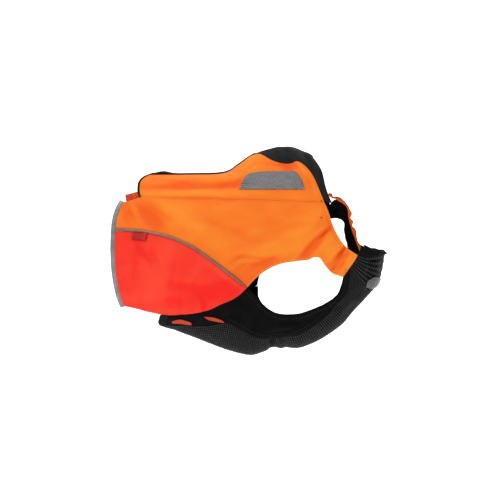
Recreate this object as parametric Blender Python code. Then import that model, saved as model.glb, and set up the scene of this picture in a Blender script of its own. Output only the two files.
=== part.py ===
"""A dog protection vest in the shape it has when worn, hollow, with no dog in it.

Metres, +Z up, +X towards the neck, -Y on the dog's right. The tables are in millimetres.
The origin is on the inside of the back, on the ridge, just behind the collar.
"""

import math

import bmesh
import bpy
from mathutils import Vector

MM = 0.001
WALL = 2.0
SEAM_GAP = 0.3
TAPE = 1.2
# High enough to clear the corners of the facets under it.
TAPE_LIFT = 0.6
STEPS = 3
RIDGE = 0.0
KEEL = math.pi
RIGHT = 1
LEFT = -1

PIPING_HALF_WIDTH = 2.3
PIPING_RISE = 1.6
# Its half widths where it tapers into the leg hole.
PIPING_TIP = [1.3, 0.4]
HEM_WIDTH = 9.0
TAIL_BINDING_WIDTH = 4.0
BACK_STRIP_HALF_WIDTH = 10.0
BACK_STRIP_RISE = 1.5
BELLY_HEM_WIDTH = 15.0
# Its share of that width at its two ends, and the steps over which it widens.
BELLY_HEM_END = 0.04
BELLY_HEM_STEPS = 5
CHEST_BAND_WIDTH = 19.0
TAIL_LOOP_HEIGHT = 10.0
RIB_RISE = 0.7
BELLY_ROWS = 10
# The window's flat facets need more room over a crease than the other tapes.
WINDOW_LIFT = 0.9
# How far the rear columns of three panels bow along the body, fading over some spans.
YOKE_BOW = -10.0
FLANK_BOW = -3.0
SIDE_BOW = -5.0
BOW_SPANS = 3
# The gusset starts under this point of the side panel's lower edge.
GUSSET_FROM = 3
# How many spans of the chest piece's edge the gusset meets.
GUSSET_ON_CHEST = 2

ORANGE = (1.0, 0.24, 0.02)
RED = (0.95, 0.06, 0.03)
BLACK = (0.012, 0.012, 0.013)
CHARCOAL = (0.045, 0.045, 0.048)
GREY = (0.42, 0.43, 0.44)

# A slim trunk, one row for each section, from the rump to the neck. A section's plane
# stands square to the side view and fans forward until it faces out of the neck.
# Columns: x and z on the back, x and z on the belly or chest, half the width.
SECTIONS = [
    (-245, -18, -245, -263, 50),
    (-176, -13, -176, -280, 58),
    (-104, -13, -104, -302, 65),
    (-32, -12, 0, -337, 70),
    (0, 3, 65, -328, 70),
    (31, 22, 131, -318, 68),
    (58, 32, 186, -280, 65),
    (90, 34, 226, -237, 62),
    (119, 25, 250, -203, 58),
    (142, 11, 259, -164, 54),
    (158, -4, 262, -138, 50),
]

# The outlines are read off a view from this far away, turned a little towards the head,
# about a centre at this x and z. The view shows the middle of the trunk at its real size.
VIEW_DISTANCE = 2500.0
VIEW_TURN = math.radians(8)
VIEW_CENTRE = (18, -151)

# Outlines as that view shows them on the right side. Columns: x, z.
TAIL_EDGE = [(-209, -64), (-194, -60), (-178, -55)]
YOKE_SEAM = [
    (-178, -55), (-135, -57), (-90, -57), (-45, -58), (0, -59), (32, -60),
    (58, -61), (81, -62), (104, -62), (126, -63), (144, -64), (152, -65),
]
NECK_EDGE = [(152, -65), (160, -84), (166, -103), (178, -128), (193, -147), (212, -160)]
PIPING_LINE = [
    (-224, -114), (-202, -115), (-175, -117), (-131, -126),
    (-88, -144), (-49, -170), (-14, -197), (13, -218),
]
HOLE_TOP = [
    (13, -218), (32, -198), (54, -183), (77, -174), (103, -170), (122, -168),
    (134, -163), (144, -165), (154, -179), (166, -192), (177, -196), (186, -199),
]
SIDE_LOW = [
    (-208, -253), (-185, -258), (-162, -264), (-130, -269),
    (-95, -267), (-61, -261), (-27, -246), (9, -222),
]
HOLE_LOW = [
    (14, -219), (31, -237), (49, -255), (72, -267), (101, -267),
    (130, -258), (157, -246), (175, -231), (182, -216), (186, -199),
]
# On the left the shoulder strap is gathered and pulled forward, so it is narrower and the
# hole reaches higher.
LEFT_NECK_EDGE = [(152, -65), (176, -72), (189, -83), (193, -98), (200, -117), (212, -160)]
LEFT_HOLE_TOP = [
    (13, -218), (17, -200), (36, -181), (60, -165), (88, -145), (116, -119),
    (142, -97), (164, -91), (178, -98), (179, -118), (185, -142), (196, -183),
]
LEFT_HOLE_LOW = [
    (14, -219), (16, -240), (32, -260), (56, -271), (86, -272),
    (117, -264), (145, -252), (167, -236), (184, -214), (192, -188),
]
# The seam between the soft gusset and the ribbed underside.
BELLY_SEAM = [
    (-134, -286), (-96, -288), (-58, -287), (-22, -283), (11, -300), (16, -303), (32, -309),
    (50, -311), (72, -309), (101, -304), (130, -290), (153, -273), (176, -248), (194, -221),
]
# How far the strap's end runs along the chest piece, from the neck edge down.
STRAP_ON_CHEST = 0.6

# Where the yoke's upper edge meets the ridge strip. Column: x on the back.
YOKE_RIDGE = [-162, -137, -99, -54, -18, 5, 29]
# The collar's sewn edge from there on. Columns: x, z.
COLLAR_SEWN = [(58, 11), (85, 6), (108, 8), (130, -14), (149, -57)]
# The collar's end below that edge, and where each of its columns crosses the ridge.
COLLAR_END = [(157, -65), (165, -66)]
COLLAR_RIDGE = [31, 49, 68, 88, 105, 119, 125, 130]
# How fully the collar's front edge bulges over its sides.
COLLAR_FULLNESS = 1.7
# Where the chest's columns cross the keel, from the belly seam up to the neck.
CHEST_KEEL = [201, 216, 243, 260]

# Trim that lies on a panel. Columns: x and z on its upper edge, x and z on its lower edge.
MESH_WINDOW = [
    (3, -31, -1, -41), (13, -17, 12, -41), (30, -12, 30, -41), (64, -10, 62, -41),
    (96, -9, 93, -41), (109, -21, 108, -41), (114, -33, 117, -41),
]
CHEST_PATCH = [
    (228, -209, 226, -216), (234, -203, 232, -218), (243, -198, 239, -218), (250, -202, 247, -208),
]
SIDE_LABEL = [(-193, -120, -194, -132), (-180, -120, -182, -133), (-167, -120, -170, -134)]
BELLY_STRAPS = {
    "rear": [(-122, -275, -121, -283), (-105, -276, -105, -284), (-88, -280, -87, -286)],
    "front": [(-64, -270, -60, -276), (-46, -271, -44, -279), (-30, -276, -28, -282)],
}

# Folds of the cloth. Columns: x, z, direction in degrees above +X, half length, half width,
# height above the cloth, negative for a trough.
FOLDS = [
    (120, -120, 38, 46, 9, -4.0),
    (136, -134, 42, 40, 10, 3.0),
    (184, -158, 44, 22, 8, -3.5),
    (168, -152, 40, 24, 8, 2.5),
    (198, -172, 52, 20, 8, 2.5),
    (64, -150, 12, 60, 14, 3.0),
    (30, -178, 20, 48, 12, -2.5),
    (-60, -36, 2, 110, 9, -2.5),
    (-40, -22, 4, 90, 8, 2.0),
    (20, -2, 28, 34, 9, -2.0),
    (86, -2, -62, 12, 9, -3.0),
    (-110, -92, -32, 70, 20, 3.0),
    (-150, -100, -42, 44, 14, -2.5),
    (-100, -215, 68, 60, 22, 4.0),
    (-150, -205, 78, 60, 18, -3.0),
    (-66, -245, 82, 20, 7, -3.0),
    (-20, -226, 30, 40, 12, -2.5),
    (60, -324, 84, 16, 9, -3.5),
    (24, -326, 80, 22, 16, 3.0),
    (104, -318, 78, 22, 16, 2.5),
    (198, -262, 42, 22, 8, -4.0),
    (182, -276, 44, 26, 12, 2.5),
    (232, -212, 20, 18, 8, 2.5),
]


def clear_scene():
    for item in list(bpy.data.objects):
        bpy.data.objects.remove(item, do_unlink=True)


def surface_finish(name, colour, roughness, metallic=0.0):
    made = bpy.data.materials.new(name)
    made.use_nodes = True
    shader = made.node_tree.nodes["Principled BSDF"]
    shader.inputs["Base Color"].default_value = (*colour, 1.0)
    shader.inputs["Roughness"].default_value = roughness
    shader.inputs["Metallic"].default_value = metallic
    return made


def curve_through(rows, place):
    """A smooth row between the rows of a table, at a place counted in rows."""
    last = len(rows) - 1
    first = min(max(math.floor(place), 0), last - 1)
    t = place - first
    before, start = rows[max(first - 1, 0)], rows[first]
    end, after = rows[first + 1], rows[min(first + 2, last)]
    return [
        b + 0.5 * t * (c - a + t * (2 * a - 5 * b + 4 * c - d + t * (3 * (b - c) + d - a)))
        for a, b, c, d in zip(before, start, end, after)
    ]


def smooth(points, steps=STEPS):
    """The points of a smooth line through a few points, with some steps in each span."""
    return [
        tuple(curve_through(points, i / steps)) for i in range((len(points) - 1) * steps + 1)
    ]


def fold_height(x, z):
    """How far the folds lift the cloth at a point of the view."""
    height = 0.0
    for fold_x, fold_z, direction, half_length, half_width, rise in FOLDS:
        turn = math.radians(direction)
        along = (x - fold_x) * math.cos(turn) + (z - fold_z) * math.sin(turn)
        across = (z - fold_z) * math.cos(turn) - (x - fold_x) * math.sin(turn)
        height += rise * math.exp(-((along / half_length) ** 2) - (across / half_width) ** 2)
    return height


def on_trunk(place, angle):
    """A point of the trunk, from its place along the sections and its angle from the ridge."""
    top_x, top_z, low_x, low_z, half_width = curve_through(SECTIONS, place)
    share = (1 + math.cos(angle)) / 2
    return Vector((
        low_x + (top_x - low_x) * share,
        -half_width * math.sin(angle),
        low_z + (top_z - low_z) * share,
    ))


def slopes(place, angle):
    """The trunk's two directions at a point, and the outward normal."""
    step = 0.01
    along = (on_trunk(place + step, angle) - on_trunk(place - step, angle)) / (2 * step)
    around = (on_trunk(place, angle + step) - on_trunk(place, angle - step)) / (2 * step)
    return along, around, around.cross(along).normalized()


def seen(point):
    """Where the view that the outlines are read off shows a point, from the point's own side."""
    x, y, z = point.x - VIEW_CENTRE[0], -abs(point.y), point.z - VIEW_CENTRE[1]
    depth = VIEW_DISTANCE - x * math.sin(VIEW_TURN) + y * math.cos(VIEW_TURN)
    across = x * math.cos(VIEW_TURN) + y * math.sin(VIEW_TURN)
    scale = VIEW_DISTANCE / depth
    return VIEW_CENTRE[0] + across * scale, VIEW_CENTRE[1] + z * scale


def on_cloth(place, angle, height):
    """A point of the cloth in millimetres, at a height above its outer face."""
    base = on_trunk(place, angle)
    return base + slopes(place, angle)[2] * (fold_height(*seen(base)) + height)


def locate_beside(x, z):
    """The place and angle on the right side with this x and z."""
    def miss(place):
        top_x, top_z, low_x, low_z, _ = curve_through(SECTIONS, place)
        return (x - low_x) * (top_z - low_z) - (z - low_z) * (top_x - low_x)

    low, high = 0.0, len(SECTIONS) - 1.0
    for _ in range(40):
        middle = (low + high) / 2
        low, high = (middle, high) if miss(middle) > 0 else (low, middle)
    top_x, top_z, low_x, low_z, _ = curve_through(SECTIONS, low)
    share = (z - low_z) / (top_z - low_z)
    return low, math.acos(max(-1.0, min(1.0, 2 * share - 1)))


def locate(x, z):
    """The place and angle on the right side that a point of an outline shows."""
    guess_x, guess_z = x, z
    for _ in range(8):
        found = locate_beside(guess_x, guess_z)
        seen_x, seen_z = seen(on_trunk(*found))
        guess_x, guess_z = guess_x + x - seen_x, guess_z + z - seen_z
    return found


def locate_crossing(x, column):
    """The place where the back line (column 0) or the keel line (column 2) has this x."""
    low, high = 0.0, len(SECTIONS) - 1.0
    for _ in range(40):
        middle = (low + high) / 2
        low, high = (middle, high) if curve_through(SECTIONS, middle)[column] < x else (low, middle)
    return low


def beside_ridge(x):
    """The point beside the ridge where a yoke ends and the ridge strip starts."""
    place = locate_crossing(x, 0)
    half_width = curve_through(SECTIONS, place)[4]
    return place, math.asin(BACK_STRIP_HALF_WIDTH / half_width)


def line(points):
    """A smooth line on the trunk through points of an outline."""
    return smooth([locate(x, z) for x, z in points])


def moved(point, shift):
    """A point of the trunk moved along its surface by a vector in millimetres."""
    along, around, _ = slopes(*point)
    aa, bb, ab = along.dot(along), around.dot(around), along.dot(around)
    a, b = shift.dot(along), shift.dot(around)
    scale = aa * bb - ab * ab
    return point[0] + (a * bb - b * ab) / scale, point[1] + (b * aa - a * ab) / scale


def beside(points, distances):
    """A line beside a line, seen from outside on its left for a positive distance."""
    shifted = []
    for i, point in enumerate(points):
        before, after = points[max(i - 1, 0)], points[min(i + 1, len(points) - 1)]
        direction = (on_trunk(*after) - on_trunk(*before)).normalized()
        square = slopes(*point)[2].cross(direction)
        shifted.append(moved(point, square * distances[i]))
    return shifted


def mix(start, end, share):
    return tuple(a + (b - a) * share for a, b in zip(start, end))


def strip_between(start, end, across, bow=0.0, fade=1):
    """A grid of trunk points between two lines. Its first columns may bow along the body."""
    grid = []
    for i, (first, last) in enumerate(zip(start, end)):
        column = []
        for j in range(across + 1):
            share = j / across
            reach = bow * max(0.0, 1 - i / fade) * 4 * share * (1 - share)
            column.append(moved(mix(first, last, share), Vector((reach, 0, 0))))
        grid.append(column)
    return grid


def strip_over(edge, crossing, places, across, fullness=1.0):
    """A grid that runs from a line on the right over the ridge or keel to the left."""
    grid = []
    for (place, angle), middle in zip(edge, places):
        column = []
        for j in range(across + 1):
            share = j / across
            reach = max(0.0, math.sin(math.pi * share)) ** fullness * (middle - place)
            column.append((place + reach, angle + 2 * (crossing - angle) * share))
        grid.append(column)
    return grid


def seam_cut(grid):
    """Draws a grid's border in by half the seam gap."""
    def drawn_in(point, inner):
        reach = (on_trunk(*inner) - on_trunk(*point)).length
        return mix(point, inner, min(0.4, SEAM_GAP / 2 / max(reach, 1e-6)))

    cut = [list(column) for column in grid]
    for column in cut:
        column[0] = drawn_in(column[0], column[1])
        column[-1] = drawn_in(column[-1], column[-2])
    for edge, inner in ((0, 1), (-1, -2)):
        cut[edge] = [drawn_in(a, b) for a, b in zip(cut[edge], cut[inner])]
    return cut


def face_out(mesh):
    """Turns a closed mesh's faces outwards."""
    work = bmesh.new()
    work.from_mesh(mesh)
    bmesh.ops.recalc_face_normals(work, faces=work.faces)
    work.to_mesh(mesh)
    work.free()


def wall(name, finish, grid, low=-WALL, high=0.0, rise=None, side=RIGHT):
    """One piece of cloth: a closed wall over a grid, from a low to a high height."""
    cut = seam_cut(grid)
    columns, rows = len(cut), len(cut[0])
    points = []
    for upper in (True, False):
        for i in range(columns):
            for j in range(rows):
                extra = rise(i / (columns - 1), j / (rows - 1), i, j) if rise and upper else 0.0
                height = high + extra if upper else low
                point = on_cloth(*cut[i][j], height)
                points.append((point.x * MM, side * point.y * MM, point.z * MM))
    under = columns * rows
    faces = []
    for i in range(columns - 1):
        for j in range(rows - 1):
            a, b, c, d = (i * rows + j, (i + 1) * rows + j, (i + 1) * rows + j + 1, i * rows + j + 1)
            faces += [(a, b, c, d), (under + d, under + c, under + b, under + a)]
    border = [i * rows for i in range(columns)]
    border += [(columns - 1) * rows + j for j in range(1, rows)]
    border += [i * rows + rows - 1 for i in range(columns - 2, -1, -1)]
    border += [j for j in range(rows - 2, 0, -1)]
    for a, b in zip(border, border[1:] + border[:1]):
        faces.append((a, under + a, under + b, b))
    mesh = bpy.data.meshes.new(name)
    mesh.from_pydata(points, [], faces)
    face_out(mesh)
    mesh.materials.append(finish)
    mesh.shade_smooth()
    mesh.set_sharp_from_angle(angle=math.radians(40))
    piece = bpy.data.objects.new(name, mesh)
    bpy.context.collection.objects.link(piece)
    return piece


def tape(name, finish, table, side=RIGHT, across=2, lift=TAPE_LIFT):
    """A flat piece that lies on a panel's outer face."""
    upper = smooth([locate(row[0], row[1]) for row in table], 2)
    lower = smooth([locate(row[2], row[3]) for row in table], 2)
    grid = strip_between(upper, lower, across)
    wall(name, finish, grid, low=lift, high=lift + TAPE, side=side)


def rounded(rise):
    """A rounded top across a narrow strip."""
    return lambda along, across, i, j: rise * math.sin(math.pi * across)


def ribbed(rise, last_row):
    """Every other column raised, but not the border."""
    return lambda along, across, i, j: rise if i % 2 and 0 < j < last_row else 0.0


def piping_edges():
    """The line of the piping with its upper and lower edge, drawn together at its end."""
    middle = line(PIPING_LINE)
    widths = [PIPING_HALF_WIDTH] * (len(middle) - len(PIPING_TIP)) + PIPING_TIP
    upper = beside(middle, widths)
    lower = beside(middle, [-width for width in widths])
    return upper, lower


def yoke_upper_edge():
    places = [beside_ridge(x) for x in YOKE_RIDGE]
    return smooth(places + [locate(x, z) for x, z in COLLAR_SEWN])


def yoke_grid():
    seam = line(YOKE_SEAM)
    fade = BOW_SPANS * STEPS
    return strip_between(yoke_upper_edge(), seam, across=5, bow=YOKE_BOW, fade=fade)


def flank_grid(neck_edge, hole_top):
    tail, seam = line(TAIL_EDGE), line(YOKE_SEAM)
    upper = tail + seam[1:] + line(neck_edge)[1:]
    lower = piping_edges()[0] + line(hole_top)[1:]
    return strip_between(upper, lower, across=7, bow=FLANK_BOW, fade=BOW_SPANS * STEPS)


def side_grid():
    upper, lower = piping_edges()[1], line(SIDE_LOW)
    return strip_between(upper, lower, across=6, bow=SIDE_BOW, fade=BOW_SPANS * STEPS)


def halved(points):
    """A line with a point added in the middle of each step."""
    middles = [mix(a, b, 0.5) for a, b in zip(points, points[1:])]
    return [p for pair in zip(points, middles) for p in pair] + points[-1:]


def strap_end(share):
    """A point of the strap's end, from the neck edge down to the leg hole."""
    return mix(locate(*NECK_EDGE[-1]), locate(*HOLE_TOP[-1]), share)


def belly_edges():
    """The underside's edge on the right: the belly piece's part and the chest piece's part."""
    places = [locate(x, z) for x, z in BELLY_SEAM]
    whole = smooth([*places, strap_end(STRAP_ON_CHEST)])
    split = (len(BELLY_SEAM) - 2) * STEPS
    on_strap = smooth([strap_end(STRAP_ON_CHEST), strap_end(0.0)], 4)
    return whole[: split + 1], whole[split:] + on_strap[1:]


def gusset_grid(hole_low):
    side_edge = line(SIDE_LOW)[GUSSET_FROM * STEPS:]
    short = smooth([locate(*SIDE_LOW[-1]), locate(*hole_low[0])])
    upper = side_edge + short[1:] + line(hole_low)[1:]
    belly, chest = belly_edges()
    lower = belly + chest[1 : GUSSET_ON_CHEST * STEPS + 1]
    return strip_between(upper, lower, across=4)


def chest_grid():
    edge = halved(belly_edges()[1])
    keel = smooth([(locate_crossing(x, 2),) for x in CHEST_KEEL], 3)
    share = (len(keel) - 1) / (len(edge) - 1)
    places = [curve_through(keel, i * share)[0] for i in range(len(edge))]
    return strip_over(edge, KEEL, places, across=BELLY_ROWS)


def belly_grid():
    edge = halved(belly_edges()[0])
    places = [point[0] for point in edge]
    ahead = locate_crossing(CHEST_KEEL[0], 2) - edge[-1][0]
    fade = len(edge) // 3
    for i in range(fade):
        places[-1 - i] += ahead * (1 - i / fade) ** 2
    return strip_over(edge, KEEL, places, across=BELLY_ROWS)


def build_side(side, word, paint):
    neck_edge = NECK_EDGE if side == RIGHT else LEFT_NECK_EDGE
    hole_top = HOLE_TOP if side == RIGHT else LEFT_HOLE_TOP
    hole_low = HOLE_LOW if side == RIGHT else LEFT_HOLE_LOW
    flank, red = flank_grid(neck_edge, hole_top), side_grid()
    wall(f"yoke_{word}", paint["orange"], yoke_grid(), side=side)
    wall(f"flank_{word}", paint["orange"], flank, side=side)
    wall(f"side_panel_{word}", paint["red"], red, side=side)
    piping = strip_between(*piping_edges(), across=4)
    wall(f"piping_{word}", paint["grey"], piping, rise=rounded(PIPING_RISE), side=side)
    rear = flank[0] + red[0]
    outer = beside(rear, [-HEM_WIDTH] * len(rear))
    wall(f"hem_band_{word}", paint["grey"], strip_between(outer, rear, across=2), side=side)
    wall(f"gusset_{word}", paint["black"], gusset_grid(hole_low), side=side)
    base = [column[0] for column in flank[1 : 2 * STEPS]]
    loop = beside(base, [TAIL_LOOP_HEIGHT] * len(base))
    wall(f"tail_loop_{word}", paint["red"], strip_between(loop, base, across=2), side=side)
    tape(f"mesh_window_{word}", paint["grey"], MESH_WINDOW, side, across=3, lift=WINDOW_LIFT)
    tape(f"chest_patch_{word}", paint["grey"], CHEST_PATCH, side, lift=TAPE_LIFT + RIB_RISE)
    for end, table in BELLY_STRAPS.items():
        tape(f"belly_strap_{end}_{word}", paint["red"], table, side=side)


def build_crossings(paint):
    """The pieces that run over the ridge or the keel from side to side."""
    yoke = yoke_grid()
    top = [column[0] for column in yoke]
    sewn_from = (len(YOKE_RIDGE) - 1) * STEPS
    ridge = top[: sewn_from + 1]
    strip = strip_over(ridge, RIDGE, [point[0] for point in ridge], across=4)
    wall("back_strip", paint["black"], strip, rise=rounded(BACK_STRIP_RISE))

    end = smooth([top[-1]] + [locate(x, z) for x, z in COLLAR_END])
    edge = top[sewn_from:] + end[1:]
    edge = beside(edge, [2 * SEAM_GAP] * len(edge))
    crossing = smooth([(locate_crossing(x, 0),) for x in COLLAR_RIDGE])
    places = [point[0] for point in crossing]
    wall("collar", paint["black"], strip_over(edge, RIDGE, places, 12, COLLAR_FULLNESS))

    rear = yoke[0]
    whole = [(place, -angle) for place, angle in rear[::-1]] + [(rear[0][0], RIDGE)] + rear
    outer = beside(whole, [-TAIL_BINDING_WIDTH] * len(whole))
    wall("tail_binding", paint["black"], strip_between(outer, whole, across=1))

    belly, chest = belly_grid(), chest_grid()
    wall("belly_panel", paint["charcoal"], belly, rise=ribbed(RIB_RISE, BELLY_ROWS))
    wall("chest_panel", paint["charcoal"], chest, rise=ribbed(RIB_RISE, BELLY_ROWS))
    upper = beside(chest[-1], [CHEST_BAND_WIDTH] * len(chest[-1]))
    band = strip_between(chest[-1], upper, across=3)
    wall("chest_band", paint["black"], band)

    gusset = gusset_grid(HOLE_LOW)[0]
    left = [(place, 2 * KEEL - angle) for place, angle in gusset[::-1]]
    whole = gusset + belly[0][1:] + left[1:]
    widths = []
    for i in range(len(whole)):
        from_end = min(i, len(whole) - 1 - i, BELLY_HEM_STEPS) / BELLY_HEM_STEPS
        widths.append(-BELLY_HEM_WIDTH * (BELLY_HEM_END + (1 - BELLY_HEM_END) * from_end))
    outer = beside(whole, widths)
    wall("belly_hem", paint["black"], strip_between(outer, whole, across=2))


def build():
    clear_scene()
    paint = {
        "orange": surface_finish("orange_shell", ORANGE, 0.62),
        "red": surface_finish("red_shell", RED, 0.62),
        "black": surface_finish("black_soft", BLACK, 0.85),
        "charcoal": surface_finish("charcoal_ribbed", CHARCOAL, 0.75),
        "grey": surface_finish("grey_reflective", GREY, 0.45, 0.2),
    }
    build_side(RIGHT, "right", paint)
    build_side(LEFT, "left", paint)
    tape("side_label", paint["red"], SIDE_LABEL)
    build_crossings(paint)


build()
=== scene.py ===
"""The looks of a dog protection vest in its worn shape, hollow, with no dog in it.

The frame is in metres, +Z up, +X towards the neck, -Y on the dog's right. The tables
are in millimetres, as the part's are.
"""

import math

import bmesh
import bpy
import numpy as np
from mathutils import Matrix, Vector, noise


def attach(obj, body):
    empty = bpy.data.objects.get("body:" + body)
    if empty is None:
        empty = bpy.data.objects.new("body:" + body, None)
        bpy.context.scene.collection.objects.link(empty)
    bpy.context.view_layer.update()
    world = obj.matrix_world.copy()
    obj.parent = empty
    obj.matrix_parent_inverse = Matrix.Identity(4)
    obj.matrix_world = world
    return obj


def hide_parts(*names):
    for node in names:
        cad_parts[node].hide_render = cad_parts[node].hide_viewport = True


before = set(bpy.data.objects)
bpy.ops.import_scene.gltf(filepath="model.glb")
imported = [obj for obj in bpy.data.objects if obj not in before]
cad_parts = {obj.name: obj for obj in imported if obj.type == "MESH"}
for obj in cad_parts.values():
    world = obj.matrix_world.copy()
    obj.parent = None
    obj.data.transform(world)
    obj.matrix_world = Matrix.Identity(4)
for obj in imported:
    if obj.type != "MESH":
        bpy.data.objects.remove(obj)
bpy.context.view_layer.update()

MM = 0.001
# The least side of a cut, in metres.
SMALLEST_CUT = 0.01
WALL = 2.0
SEAM_GAP = 0.3
TAPE = 1.2
TAPE_LIFT = 0.6
STEPS = 12
RIDGE = 0.0
KEEL = math.pi
RIGHT = 1
LEFT = -1

PIPING_HALF_WIDTH = 2.3
PIPING_RISE = 1.6
PIPING_TIP = 8
HEM_WIDTH = 9.0
TAIL_BINDING_WIDTH = 4.0
BACK_STRIP_HALF_WIDTH = 10.0
BELLY_HEM_WIDTH = 15.0
BELLY_HEM_END = 0.04
BELLY_HEM_STEPS = 5
CHEST_BAND_WIDTH = 19.0
TAIL_LOOP_HEIGHT = 13.0
RIB_PITCH = 3.9
RIB_RISE = 1.0
YOKE_BOW = -10.0
FLANK_BOW = -3.0
SIDE_BOW = -5.0
BOW_SPANS = 3
GUSSET_FROM = 3
GUSSET_ON_CHEST = 2
STRAP_ON_CHEST = 0.6
COLLAR_FULLNESS = 1.3
COLLAR_BULGE = 0.42
COLLAR_BULGE_AT = 0.24
COLLAR_BULGE_WIDTH = 0.13
PUCKER = 0.35
PUCKER_GRAIN = 9.0
SEAM_DIP_REACH = 1.5
FREE_RIM = 0.7
SEWN_RIM = 0.1
STITCH_PITCH = 3.4
STITCH_THICKNESS = 0.5
SHORT_PITCH = 2.6
TACK_THICKNESS = 1.1
TACK_DROP = 30.0
RIB_STEPS = 4
KEEL_ROWS = 40
COLLAR_ROWS = 60
STRIP_RAISE = 3.2
STRIP_RAISE_X = -140
STRIP_RAISE_HALF_LENGTH = 13
STRAP_HEM_WIDTH = 5.4
STRAP_HEM_SCALLOP = 2.1
STRAP_HEM_PITCH = 1.2
STRAP_HEM_DEPTH = 3.6
KEEL_NARROWING = 0.86
KEEL_NARROW_SHARE = 0.45

# The outlines are read off a view from this far away, turned a little towards the head,
# about a centre at this x and z. The view shows the middle of the trunk at its real size.
VIEW_DISTANCE = 2500.0
VIEW_TURN = math.radians(8)
VIEW_CENTRE = (18, -151)

# A slim trunk, one row for each section, from the rump to the neck.
# Columns: x and z on the back, x and z on the belly or chest, half the width.
SECTIONS = np.array([
    (-245, -18, -245, -263, 50),
    (-176, -13, -176, -280, 58),
    (-104, -13, -104, -302, 65),
    (-32, -12, 0, -337, 70),
    (0, 3, 65, -328, 70),
    (31, 22, 131, -318, 68),
    (58, 32, 186, -280, 65),
    (90, 34, 226, -237, 62),
    (119, 25, 250, -203, 58),
    (142, 11, 259, -164, 54),
    (158, -4, 262, -138, 50),
], float)

# Outlines as that view shows them on the right side. Columns: x, z.
TAIL_EDGE = [(-209, -64), (-194, -60), (-178, -55)]
YOKE_SEAM = [
    (-178, -55), (-135, -57), (-90, -57), (-45, -58), (0, -59), (32, -60),
    (58, -61), (81, -62), (104, -62), (126, -63), (144, -64), (152, -65),
]
NECK_EDGE = [(152, -65), (160, -84), (166, -103), (178, -128), (193, -147), (212, -160)]
PIPING_LINE = [
    (-224, -114), (-202, -115), (-175, -117), (-131, -126),
    (-88, -144), (-49, -170), (-14, -197), (13, -218),
]
HOLE_TOP = [
    (13, -218), (32, -198), (54, -183), (77, -174), (103, -170), (122, -168),
    (134, -163), (144, -165), (154, -179), (166, -192), (177, -196), (186, -199),
]
SIDE_LOW = [
    (-208, -253), (-185, -258), (-162, -264), (-130, -269),
    (-95, -267), (-61, -261), (-27, -246), (9, -222),
]
HOLE_LOW = [
    (14, -219), (31, -237), (49, -255), (72, -267), (101, -267),
    (130, -258), (157, -246), (175, -231), (182, -216), (186, -199),
]
# On the left the shoulder strap is gathered and pulled forward, so it is narrower and the
# hole reaches higher.
LEFT_NECK_EDGE = [(152, -65), (164, -57), (184, -70), (188, -93), (196, -120), (212, -160)]
# The gathered hem along that edge, from under the collar's end.
STRAP_HEM = [(148, -48), (156, -53), (166, -57), (184, -70), (188, -93), (196, -120), (212, -160)]
LEFT_HOLE_TOP = [
    (13, -218), (17, -200), (36, -181), (60, -165), (88, -145), (116, -119),
    (142, -97), (164, -91), (178, -98), (179, -118), (185, -142), (196, -183),
]
LEFT_HOLE_LOW = [
    (14, -219), (16, -240), (32, -260), (56, -271), (86, -272),
    (117, -264), (145, -252), (167, -236), (184, -214), (192, -188),
]
# The seam between the soft gusset and the ribbed underside.
BELLY_SEAM = [
    (-134, -286), (-96, -288), (-58, -287), (-22, -283), (11, -300), (16, -303), (32, -309),
    (50, -311), (72, -309), (101, -304), (130, -290), (153, -273), (176, -248), (194, -221),
]

# Where the yoke's upper edge meets the ridge strip. Column: x on the back.
YOKE_RIDGE = [-162, -137, -99, -54, -18, 5, 29]
COLLAR_SEWN = [(58, 11), (85, 6), (108, 8), (130, -14), (149, -57)]
COLLAR_END = [(157, -65), (165, -66)]
COLLAR_RIDGE = [31, 49, 68, 88, 105, 119, 125, 130]
CHEST_KEEL = [201, 216, 243, 260]

# Trim that lies on a panel. Columns: x and z on its upper edge, x and z on its lower edge.
MESH_WINDOW = [
    (3, -31, -1, -41), (13, -17, 12, -41), (30, -12, 30, -41), (64, -10, 62, -41),
    (96, -9, 93, -41), (109, -21, 108, -41), (114, -33, 117, -41),
]
CHEST_PATCH = [
    (228, -209, 226, -216), (234, -203, 232, -218), (243, -198, 239, -218), (250, -202, 247, -208),
]
SIDE_LABEL = [(-193, -120, -194, -132), (-180, -120, -182, -133), (-167, -120, -170, -134)]
LABEL_STITCHES = [(-191, -121.5), (-170, -121.5)]
TACK = [(145.0, -61.5), (148.5, -63.5)]
BELLY_STRAPS = {
    "rear": [(-122, -279, -121, -282), (-108, -276, -106, -283), (-88, -281, -87, -286)],
    "front": [(-64, -271, -57, -276), (-48, -272, -42, -279), (-32, -277, -28, -281)],
}

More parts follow.
